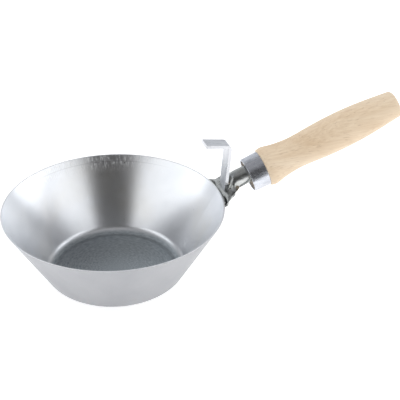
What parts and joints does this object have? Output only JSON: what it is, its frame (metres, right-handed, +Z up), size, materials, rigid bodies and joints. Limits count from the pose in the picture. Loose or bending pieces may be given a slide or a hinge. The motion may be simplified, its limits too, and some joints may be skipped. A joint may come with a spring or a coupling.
{
  "type": "mason's throwing pan",
  "caption": "Conical sheet-steel mason's throwing pan with a rolled sheet neck, an upright flat-strip hanging hook, a steel ferrule and a turned wooden handle.",
  "frame": {"origin": "centre of the underside of the pan's flat base, which rests on the ground", "axes": "+Z up out of the pan's mouth; +X towards the handle, which rises as it leaves the rim; Y across, with the neck's lapped edge on the -Y side"},
  "size_m": [0.3409, 0.18, 0.1265],
  "materials": {
    "pan_steel": "satin zinc-coated sheet, brighter on the wall, with short draw marks under the rim",
    "neck_steel": "bright rolled sheet with sheared edges",
    "weld_metal": "dull heat-tinted weld metal",
    "hook_steel": "satin flat strip with fine lengthwise lines",
    "ferrule_steel": "bright drawn tube with a rolled lip",
    "handle_wood": "pale turned beech, sealed, with a light sheen"
  },
  "bodies": {
    "root": {"pan": "pan_steel", "neck_bracket": "neck_steel", "spot_welds": "weld_metal", "hanging_hook": "hook_steel", "hook_weld": "weld_metal", "ferrule": "ferrule_steel", "handle": "handle_wood"}
  },
  "joints": []
}
